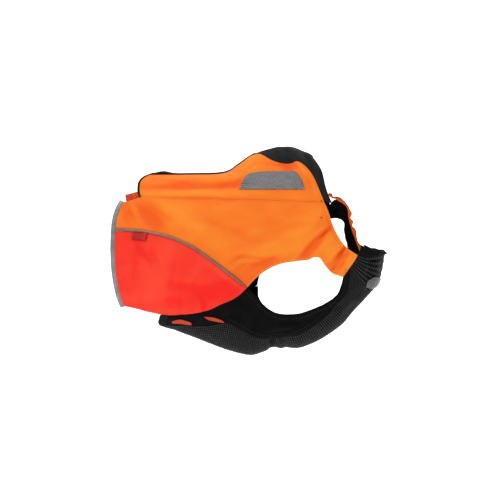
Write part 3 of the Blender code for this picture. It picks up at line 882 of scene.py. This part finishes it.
def paints():
    # Each woven pair is a lit colour and its painted shade copy for fold troughs. Each soft black's second
    # colour is its painted highlight on fold ridges, also used for a random mottle.
    orange, shaded_orange = (1.0, 0.275, 0.024), (0.95, 0.125, 0.012)
    red, shaded_red = (1.0, 0.066, 0.03), (0.95, 0.02, 0.014)
    return {
        "orange": woven("orange_weave", orange, shaded_orange),
        "red": woven("red_weave", red, shaded_red),
        "deep": woven("orange_turned_hem", (1.0, 0.2, 0.03), (0.75, 0.07, 0.012)),
        "label": woven("label_weave", (0.62, 0.035, 0.03), (0.3, 0.008, 0.01)),
        "strap": woven("strap_weave", (0.8, 0.1, 0.03), (0.4, 0.022, 0.012)),
        "lining": soft_black(
            "black_lining", (0.002, 0.002, 0.0022), (0.006, 0.006, 0.0066), 0.8, 0.0002, 0.015),
        "collar": soft_black(
            "collar_fleece", (0.008, 0.0085, 0.009), (0.025, 0.026, 0.028), 0.85, 0.0004, 0.08),
        "gusset": soft_black(
            "gusset_stretch", (0.0022, 0.0022, 0.0024), (0.0055, 0.0055, 0.006), 0.7, 0.0002, 0.02),
        "elastic": soft_black(
            "elastic_black", (0.004, 0.004, 0.0045), (0.016, 0.016, 0.017), 0.7, 0.0003, 0.04),
        "grey": reflective("grey_reflective_tape", (0.33, 0.31, 0.305), (0.2, 0.19, 0.19)),
        "piping": reflective("brown_grey_piping", (0.3, 0.17, 0.11), (0.17, 0.11, 0.085)),
        "patch": reflective("grey_patch", (0.085, 0.085, 0.087), (0.05, 0.05, 0.052)),
        "mesh": open_mesh("grey_open_mesh", (0.27, 0.262, 0.262), (0.06, 0.058, 0.058)),
        "ribbed": ribbed_weave("charcoal_ribs", (0.056, 0.056, 0.058), (0.0015, 0.0015, 0.0016), 0.0042),
        "orange_thread": thread_paint("orange_thread", (0.95, 0.17, 0.02), (0.7, 0.09, 0.015)),
        "red_thread": thread_paint("red_thread", (0.85, 0.05, 0.03), (0.55, 0.025, 0.02)),
        "black_thread": thread_paint("black_thread", (0.018, 0.018, 0.02), (0.006, 0.006, 0.007)),
        "grey_thread": thread_paint("grey_thread", (0.2, 0.2, 0.2), (0.1, 0.1, 0.1)),
    }


def sewn(edge, depth=0.9, seed=0.0):
    """A seam's dip along one edge, and the small puckers that its thread pulls."""
    def height(at):
        away = getattr(at, edge)
        along = at.start if edge in ("top", "low") else at.top
        points = np.stack([along, away * 0.4, np.zeros_like(along)], axis=-1)
        pulls = PUCKER * noise_at(points, PUCKER_GRAIN, seed) * np.exp(-away / 6.0)
        return pulls - depth * np.exp(-((away / SEAM_DIP_REACH) ** 2))
    return height


def hemmed(edge, width=6.5, rise=0.5, first=0):
    """A turned hem along one edge: the cloth is doubled there, over some columns."""
    def height(at):
        away = getattr(at, edge)
        until = at.column.max()
        there = 1 / (1 + np.exp(-(at.column - first) * 0.8)) / (1 + np.exp((at.column - until) * 0.8))
        doubled = rise / (1 + np.exp((away - width) / 0.5))
        points = np.stack([at.start, np.zeros_like(away), np.zeros_like(away)], axis=-1)
        pulls = 0.3 * noise_at(points, 8.0, 5.0) * np.exp(-away / 5.0)
        return there * (doubled + pulls)
    return height


def gathers(edge, pitch, rise, reach, seed=0.0, first=0):
    """Gathers that run away from an elastic edge, uneven in width and height."""
    def height(at):
        away = getattr(at, edge)
        uneven = np.stack([at.start, np.zeros_like(away), np.zeros_like(away)], axis=-1)
        phase = math.tau * at.start / pitch + 2.2 * noise_at(uneven, 2.4 * pitch, seed)
        strength = 0.75 + 0.45 * noise_at(uneven, 1.7 * pitch, seed + 4.0)
        there = 1 / (1 + np.exp(-(at.column - first) * 0.5))
        return there * rise * strength * np.sin(phase) * np.exp(-away / reach)
    return height


def domed(rise):
    """A rounded top across a narrow strip."""
    return lambda at: rise * np.sqrt(np.maximum(0.0, np.sin(np.pi * at.top / (at.top + at.low))))


def together(*parts):
    return lambda at: sum(part(at) for part in parts)


def piping_edges():
    """The upper and lower edge of the piping, drawn together at its end."""
    middle = line(PIPING_LINE)
    widths = np.full(len(middle), PIPING_HALF_WIDTH)
    widths[-PIPING_TIP:] = np.linspace(PIPING_HALF_WIDTH, 0.4, PIPING_TIP)
    return beside(middle, widths), beside(middle, -widths)


def yoke_upper_edge():
    place = locate_crossing(YOKE_RIDGE, 0)
    half_width = rows_at(SECTIONS, place)[:, 4]
    on_ridge = np.stack([place, np.arcsin(BACK_STRIP_HALF_WIDTH / half_width)], axis=-1)
    return smooth(np.concatenate([on_ridge, locate(COLLAR_SEWN)]))


def yoke_grid():
    return strip_between(yoke_upper_edge(), line(YOKE_SEAM), 22, YOKE_BOW, BOW_SPANS * STEPS)


def flank_edges(neck_edge, hole_top):
    upper = np.concatenate([line(TAIL_EDGE), line(YOKE_SEAM)[1:], line(neck_edge)[1:]])
    return upper, np.concatenate([piping_edges()[0], line(hole_top)[1:]])


def side_grid():
    return strip_between(piping_edges()[1], line(SIDE_LOW), 48, SIDE_BOW, BOW_SPANS * STEPS)


def strap_end(share):
    """A point of the strap's end, from the neck edge down to the leg hole."""
    start, end = locate([NECK_EDGE[-1], HOLE_TOP[-1]])
    return start + (end - start) * share


def belly_edges():
    """The underside's edge on the right: the belly piece's part and the chest piece's part."""
    whole = smooth(np.concatenate([locate(BELLY_SEAM), [strap_end(STRAP_ON_CHEST)]]))
    split = (len(BELLY_SEAM) - 2) * STEPS
    on_strap = smooth([strap_end(STRAP_ON_CHEST), strap_end(0.0)], 4 * STEPS // 3)
    return whole[: split + 1], np.concatenate([whole[split:], on_strap[1:]])


def gusset_grid(hole_low):
    short = smooth(locate([SIDE_LOW[-1], hole_low[0]]))
    upper = np.concatenate([line(SIDE_LOW)[GUSSET_FROM * STEPS:], short[1:], line(hole_low)[1:]])
    belly, chest = belly_edges()
    lower = np.concatenate([belly, chest[1 : GUSSET_ON_CHEST * STEPS + 1]])
    return strip_between(upper, lower, 14)


def evened(spots, step):
    """A line's spots at even distances, with their shares of the way in the first list."""
    reach = reach_along(spots)
    goal = np.linspace(0, reach[-1], round(reach[-1] / step) + 1)
    index = np.interp(goal, reach, np.arange(len(spots)))
    return spots_at(spots, reach, goal), index


def chest_grid():
    edge = belly_edges()[1]
    keel = smooth(locate_crossing(CHEST_KEEL, 2)[:, None])[:, 0]
    places = np.interp(np.linspace(0, len(keel) - 1, len(edge)), np.arange(len(keel)), keel)
    even, index = evened(edge, RIB_PITCH / RIB_STEPS)
    return strip_over(even, KEEL, np.interp(index, np.arange(len(edge)), places), KEEL_ROWS)


def belly_grid():
    edge = belly_edges()[0]
    places = edge[:, 0].copy()
    ahead = locate_crossing(CHEST_KEEL, 2)[0] - edge[-1, 0]
    fade = len(edge) // 3
    places[-fade:] += ahead * (1 - np.arange(fade)[::-1] / fade) ** 2
    even, index = evened(edge, RIB_PITCH / RIB_STEPS)
    return strip_over(even, KEEL, np.interp(index, np.arange(len(edge)), places), KEEL_ROWS)


def rib_wave(column):
    return 0.5 - 0.5 * np.cos(math.tau * column / RIB_STEPS)


def ribs(at):
    """Fine ribs across the underside, each with a flat top."""
    inside = 1 - np.exp(-np.minimum(at.top, at.low) / 1.5)
    return RIB_RISE * (rib_wave(at.column) ** 0.8 - 0.5) * inside


def mark_ribs(piece, grid):
    """Tells the material where the rib tops are."""
    columns, rows = grid.shape[:2]
    tops = np.repeat(rib_wave(np.arange(columns)), rows)
    rest = np.zeros(len(piece.data.vertices) - 2 * len(tops))
    values = np.concatenate([tops, tops, rest])
    piece.data.attributes.new("rib", "FLOAT", "POINT").data.foreach_set("value", values)


def cloth(piece, nodes, gathered=1.0, raised=(1.0, 1.0), bowed=False):
    """Stands for its CAD nodes, which it hides, and works out its cut's size.

    raised makes the cut longer and wider than the line under a piece, until half the piece's
    surface fits in it. That counts the cloth's own edges as well as its raise, so such a cut is
    too long. The long edges of a bowed piece curve inside its cut, so its shortest line is the
    cut's width.
    """
    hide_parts(*nodes)
    longest, shortest, length, area = piece["cut"]
    width = (shortest if bowed else longest) * gathered * raised[0]
    width, length = max(width, SMALLEST_CUT), max(length * raised[1], SMALLEST_CUT)
    area = min(area * gathered, width * length)


def tape(name, table, skin, lining, side=RIGHT, across=6, lift=TAPE_LIFT, rise=None):
    """A flat piece that lies on a panel's outer face, with all its edges free."""
    table = np.asarray(table, float)
    grid = strip_between(line(table[:, :2], 8), line(table[:, 2:], 8), across)
    free = [("top", 0, None), ("low", 0, None), ("start", 0, 0), ("end", 0, None)]
    return shell(name, grid, skin, lining, side, lift, lift + TAPE, rise, free), grid


def strap_hem(side, paint):
    """The left strap's gathered hem, with a scalloped outer edge."""
    neck = evened(line(STRAP_HEM), STRAP_HEM_PITCH)[0]
    number = np.arange(len(neck))
    wave = np.sin(number * 0.34 + 1.6 * np.sin(number * 0.11)) * np.minimum(1, number / 6)
    outer = beside(neck, STRAP_HEM_WIDTH + STRAP_HEM_SCALLOP * wave)
    rise = together(domed(2.6), gathers("low", 11.0, 1.6, 14.0, 11.0))
    return shell("strap_hem_left_gathers", strip_between(outer, beside(neck, 0.4), 12),
                 paint, paint, side, low=-STRAP_HEM_DEPTH, rise=rise, free=[("top", 0, None)])


def build_side(side, word, paint):
    right = side == RIGHT
    neck_edge, hole_top = (NECK_EDGE, HOLE_TOP) if right else (LEFT_NECK_EDGE, LEFT_HOLE_TOP)
    hole_low = HOLE_LOW if right else LEFT_HOLE_LOW
    upper, lower = flank_edges(neck_edge, hole_top)
    tail_end = (len(TAIL_EDGE) - 1) * STEPS
    neck_from = tail_end + (len(YOKE_SEAM) - 1) * STEPS
    hole_from = (len(PIPING_LINE) - 1) * STEPS
    orange, red, lining = paint["orange"], paint["red"], paint["lining"]

    yoke = yoke_grid()
    yoke_rise = together(sewn("low", 0.35, seed=1.0), sewn("top", 0.6, seed=2.0))
    piece = shell(f"yoke_{word}_cloth", yoke, orange, lining, side, rise=yoke_rise)
    rows = [(beside(line(YOKE_SEAM), 2.6), 0.0), (beside(yoke[:, 0], -2.4), 0.0)]
    sewing = stitches(f"yoke_{word}_sewing", rows, paint["orange_thread"], side)
    cloth(piece, [f"yoke_{word}"])

    neck_pull = 0.9 if right else 1.8
    flank_rise = together(
        sewn("top", 0.35, seed=3.0), sewn("low", 0.5, seed=4.0),
        hemmed("top", first=neck_from + 3), hemmed("low", first=hole_from + 3),
        gathers("top", 9.0, neck_pull, 9.0, 6.0, neck_from + 6),
    )
    free = [("top", neck_from + 2, None), ("low", hole_from + 2, None)]
    grid = strip_between(upper, lower, 40, FLANK_BOW, BOW_SPANS * STEPS)
    piece = shell(f"flank_{word}_cloth", grid, orange, lining, side,
                  rise=flank_rise, free=free)
    rows = [
        (beside(line(YOKE_SEAM), -2.6), 0.0),
        (beside(upper[neck_from:], -6.0), 0.45),
        (beside(lower[hole_from:], 6.0), 0.45),
        (beside(piping_edges()[0][:-PIPING_TIP], 2.2), -0.1),
    ]
    sewing = stitches(f"flank_{word}_sewing", rows, paint["orange_thread"], side)
    if not right:
        strap_hem(side, paint["deep"])
    cloth(piece, [f"flank_{word}"])

    side_rise = together(sewn("top", 0.6, seed=5.0), sewn("low", seed=6.0))
    piece = shell(f"side_panel_{word}_cloth", side_grid(), red, lining, side,
                  rise=side_rise)
    rows = [
        (beside(line(SIDE_LOW), 2.8), 0.0),
        (beside(piping_edges()[1][:-PIPING_TIP], -2.2), -0.1),
    ]
    sewing = stitches(f"side_panel_{word}_sewing", rows, paint["red_thread"], side)
    cloth(piece, [f"side_panel_{word}"])

    piping = strip_between(*piping_edges(), 10)
    piece = shell(f"piping_{word}_cord", piping, paint["piping"], lining, side,
                  rise=domed(PIPING_RISE + 0.3))
    cloth(piece, [f"piping_{word}"])

    rear = np.concatenate([grid[0, ::4], side_grid()[0, ::4][1:]])
    outer = beside(rear, -HEM_WIDTH)
    band_rise = together(
        lambda at: 0.6 * np.tanh(np.minimum(at.top, at.low) / 1.2),
        gathers("top", 22.0, 0.35, 20.0, 7.0),
    )
    piece = shell(f"hem_band_{word}_tape", strip_between(outer, rear, 10),
                  paint["grey"], lining, side, rise=band_rise, free=[("top", 0, None)])
    sewing = stitches(f"hem_band_{word}_sewing", [(beside(rear, -1.8), 0.6)],
                      paint["grey_thread"], side)
    cloth(piece, [f"hem_band_{word}"])
    drops = (0.0, TACK_DROP) if right else (0.0,)
    tacks = [
        (line(np.array(TACK) + (shift, -drop), 8), 0.3) for drop in drops for shift in (-0.6, 0.4)
    ]
    stitches(f"shoulder_{word}_bartacks", tacks, paint["black_thread"], side,
             thickness=TACK_THICKNESS)

    gusset = gusset_grid(hole_low)
    hole_start = (len(SIDE_LOW) - 1 - GUSSET_FROM + 1) * STEPS
    gusset_rise = together(
        sewn("top", 0.8, seed=8.0), sewn("low", 0.7, seed=9.0),
        hemmed("top", 8.0, 1.0, first=hole_start + 3), hemmed("low", 9.0, 1.3, first=3 * STEPS),
    )
    piece = shell(f"gusset_{word}_cloth", gusset, paint["gusset"], lining, side,
                  rise=gusset_rise, free=[("top", hole_start + 2, None)])
    rows = [
        (beside(gusset[hole_start:, 0], -7.2), 0.6),
        (beside(gusset[3 * STEPS:, -1], 8.2), 0.8),
    ]
    sewing = stitches(f"gusset_{word}_sewing", rows, paint["black_thread"], side)
    cloth(piece, [f"gusset_{word}"])

    base = upper[STEPS // 3 : tail_end]
    loop = strip_between(beside(base, TAIL_LOOP_HEIGHT), base, 10)
    piece = shell(f"tail_loop_{word}_cloth", loop, paint["strap"], lining, side,
                  rise=gathers("low", 12.0, 1.2, 12.0, 9.0), free=[("top", 0, None)])
    cloth(piece, [f"tail_loop_{word}"], raised=(1.26, 1.0))

    piece, window = tape(f"mesh_window_{word}_cloth", MESH_WINDOW, paint["mesh"],
                         lining, side, 12, 0.5)
    sewing = stitches(f"mesh_window_{word}_sewing", [
        (beside(window[:, 0], 1.4), 0.1), (beside(window[:, -1], -1.4), 0.1),
    ], paint["orange_thread"], side)
    cloth(piece, [f"mesh_window_{word}"])

    piece, _ = tape(f"chest_patch_{word}_cloth", CHEST_PATCH, paint["patch"],
                    lining, side, 6, TAPE_LIFT + RIB_RISE)
    cloth(piece, [f"chest_patch_{word}"])
    for end, table in BELLY_STRAPS.items():
        piece, strap = tape(f"belly_strap_{end}_{word}_elastic", table, paint["strap"],
                            lining, side)
        sewing = stitches(f"belly_strap_{end}_{word}_sewing",
                          [(strap[3], TAPE_LIFT + TAPE)], paint["red_thread"], side, SHORT_PITCH)
        cloth(piece, [f"belly_strap_{end}_{word}"])


def build_crossings(paint):
    """The pieces that run over the ridge or the keel from side to side."""
    lining = paint["lining"]
    yoke = yoke_grid()
    top = yoke[:, 0]
    sewn_from = (len(YOKE_RIDGE) - 1) * STEPS
    ridge = top[: sewn_from + 1]
    strip = strip_over(ridge, RIDGE, ridge[:, 0], 14)
    raised = lambda at: STRIP_RAISE * np.exp(-(((at.x - STRIP_RAISE_X) / STRIP_RAISE_HALF_LENGTH) ** 2))
    strip_rise = together(domed(1.6), raised)
    piece = shell("back_strip_cloth", strip, paint["elastic"], lining, rise=strip_rise)
    cloth(piece, ["back_strip"], raised=(1.0, 1.15))

    end = smooth(np.concatenate([top[-1:], locate(COLLAR_END)]))
    edge = np.concatenate([top[sewn_from:], end[1:]])
    edge = beside(edge, 2 * SEAM_GAP)
    crossing = smooth(locate_crossing(COLLAR_RIDGE, 0)[:, None])[:, 0]
    number = np.arange(len(edge))
    shorter = np.linspace(0, len(edge) - len(end), len(edge))
    far_edge = np.stack([np.interp(shorter, number, edge[:, k]) for k in (0, 1)], axis=-1)
    collar = strip_over(edge, RIDGE, crossing, COLLAR_ROWS, COLLAR_FULLNESS, far_edge)
    across, down = shares(COLLAR_ROWS)[None, :], np.linspace(0, 1, len(edge))[:, None] ** 1.5
    collar[..., 0] += COLLAR_BULGE * down * np.exp(-(((across - COLLAR_BULGE_AT) / COLLAR_BULGE_WIDTH) ** 2))
    piece = shell("collar_cloth", collar, paint["collar"], paint["collar"],
                  rise=together(sewn("top", 0.6, seed=12.0), sewn("low", 0.6, seed=13.0)),
                  free=[("end", len(edge) - 1, None)])
    sewing = stitches("collar_sewing", [(beside(edge, 3.0), 0.0)], paint["black_thread"])
    cloth(piece, ["collar"], bowed=True)

    rear = yoke[0]
    mirrored = rear[::-1] * np.array([1.0, -1.0])
    whole = np.concatenate([mirrored, [[rear[0, 0], RIDGE]], rear])
    binding = strip_between(beside(whole, -TAIL_BINDING_WIDTH), whole, 6)
    piece = shell("tail_binding_cloth", binding, paint["elastic"], lining,
                  rise=domed(1.0), free=[("top", 0, None)])
    cloth(piece, ["tail_binding"])

    belly, chest = belly_grid(), chest_grid()
    for name, grid in (("belly_panel", belly), ("chest_panel", chest)):
        piece = shell(f"{name}_cloth", grid, paint["ribbed"], lining, rise=ribs)
        mark_ribs(piece, grid)
        cloth(piece, [name])

    end = chest[-1]
    from_keel = np.linspace(-1, 1, len(end))
    widths = CHEST_BAND_WIDTH * (1.0 - KEEL_NARROWING * np.exp(-((from_keel / KEEL_NARROW_SHARE) ** 2)))
    widths = widths + 1.3 * np.sin(from_keel * 23.0) * (1 - from_keel**2)
    band = strip_between(end, beside(end, widths), 14)
    band_rise = together(
        domed(3.4), gathers("top", 11.0, 1.5, 30.0, 15.0), gathers("low", 7.0, 0.9, 8.0, 16.0),
    )
    piece = shell("chest_band_cloth", band, paint["gusset"], lining,
                  rise=band_rise, free=[("low", 0, None)])
    cloth(piece, ["chest_band"], gathered=1.25)

    gusset = gusset_grid(HOLE_LOW)[0]
    left = np.array([0.0, 2 * KEEL]) + gusset[::-1] * np.array([1.0, -1.0])
    whole = np.concatenate([gusset, belly[0, 1:], left[1:]])
    number = np.arange(len(whole))
    from_end = np.minimum(np.minimum(number, number[::-1]) / BELLY_HEM_STEPS, 1.0)
    widths = BELLY_HEM_WIDTH * (BELLY_HEM_END + (1 - BELLY_HEM_END) * from_end)
    hem = strip_between(beside(whole, -widths), whole, 10)
    piece = shell("belly_hem_cloth", hem, paint["elastic"], lining,
                  rise=gathers("low", 9.0, 0.8, 14.0, 18.0), free=[("top", 0, None)])
    cloth(piece, ["belly_hem"], gathered=1.15)

    lifted = together(domed(1.0), lambda at: 1.6 * np.exp(-at.end / 4.0))
    piece, _ = tape("side_label_cloth", SIDE_LABEL, paint["label"], lining, rise=lifted)
    rows = [(line(LABEL_STITCHES, 8), TAPE_LIFT + TAPE)]
    sewing = stitches("side_label_sewing", rows, paint["red_thread"], pitch=SHORT_PITCH)
    cloth(piece, ["side_label"], raised=(1.14, 1.0))


SENSOR = 36.0
PHOTO_WIDTH = 900.0
ELEVATION = 0.5
FLOOR_Z = -0.62
FLOOR_HALF_WIDTH = 7.0
WORLD_LIGHT = 0.4
# The floor's section, curved up into a backdrop. Columns: y, height above the floor.
FLOOR_SECTION = [
    (-6.0, 0.0), (1.4, 0.0), (1.9, 0.06), (2.35, 0.28), (2.62, 0.7), (2.7, 1.3), (2.7, 5.0),
]
# Columns: name, place, size in metres, power in watts.
LIGHTS = [
    ("key_light", (-0.9, -1.7, 2.3), 0.8, 42.0),
    ("fill_light", (2.0, -1.9, 0.1), 1.6, 9.0),
    ("top_light", (0.1, 0.3, 2.2), 1.2, 12.0),
]
LIGHTS_AIM = (0.0, 0.0, -0.15)


def add_camera():
    """A long lens from where the outlines are read, that sees the photo's width."""
    turn, rise = VIEW_TURN, math.radians(ELEVATION)
    away = Vector((math.sin(turn) * math.cos(rise), -math.cos(turn) * math.cos(rise), math.sin(rise)))
    data = bpy.data.cameras.new("photo_camera")
    data.sensor_width = SENSOR
    data.lens = SENSOR * VIEW_DISTANCE / PHOTO_WIDTH
    camera = bpy.data.objects.new("photo_camera", data)
    camera.location = Vector((VIEW_CENTRE[0], 0.0, VIEW_CENTRE[1])) * MM + away * VIEW_DISTANCE * MM
    camera.rotation_mode = "QUATERNION"
    camera.rotation_quaternion = (-away).to_track_quat("-Z", "Y")
    bpy.context.collection.objects.link(camera)
    bpy.context.scene.camera = camera


def add_light(name, place, size, power):
    data = bpy.data.lights.new(name, "AREA")
    data.shape = "DISK"
    data.size, data.energy = size, power
    lamp = bpy.data.objects.new(name, data)
    lamp.location = place
    towards = Vector(LIGHTS_AIM) - Vector(place)
    lamp.rotation_euler = towards.to_track_quat("-Z", "Y").to_euler()
    bpy.context.collection.objects.link(lamp)


def add_stage():
    """A pale floor that curves up into a backdrop, and an even white surround."""
    world = bpy.context.scene.world or bpy.data.worlds.new("surround")
    bpy.context.scene.world = world
    world.use_nodes = True
    surround = world.node_tree.nodes["Background"]
    feed(world.node_tree, surround, {"Color": (1, 1, 1, 1), "Strength": WORLD_LIGHT})
    sides = (-FLOOR_HALF_WIDTH, FLOOR_HALF_WIDTH)
    points = [(x, y, FLOOR_Z + z) for x in sides for y, z in FLOOR_SECTION]
    count = len(FLOOR_SECTION)
    faces = [(i, i + count, i + count + 1, i + 1) for i in range(count - 1)]
    mesh = bpy.data.meshes.new("studio_floor")
    mesh.from_pydata(points, [], faces)
    mesh.shade_smooth()
    paper, tree, shader = new_material("white_paper", 0.9, specular=0.1)
    grain = ramp(tree, noise_node(tree, 3.0, 3.0), 0.3, 0.7)
    place = add(tree, "SeparateXYZ", {0: add(tree, "TexCoord").outputs["Object"]}).outputs["Y"]
    feed(tree, shader, {
        "Base Color": blend(tree, grain, (0.93, 0.93, 0.93), (0.9, 0.9, 0.9)),
        "Emission Color": (1, 1, 1, 1), "Emission Strength": ramp(tree, place, -0.8, 0.5, 0.1, 0.85),
    })
    mesh.materials.append(paper)
    floor = bpy.data.objects.new("studio_floor", mesh)
    bpy.context.collection.objects.link(floor)
    for row in LIGHTS:
        add_light(*row)


def build():
    paint = paints()
    for side, word in ((RIGHT, "right"), (LEFT, "left")):
        build_side(side, word, paint)
    build_crossings(paint)
    add_camera()
    add_stage()
    bpy.context.scene.view_settings.view_transform = "Standard"


build()
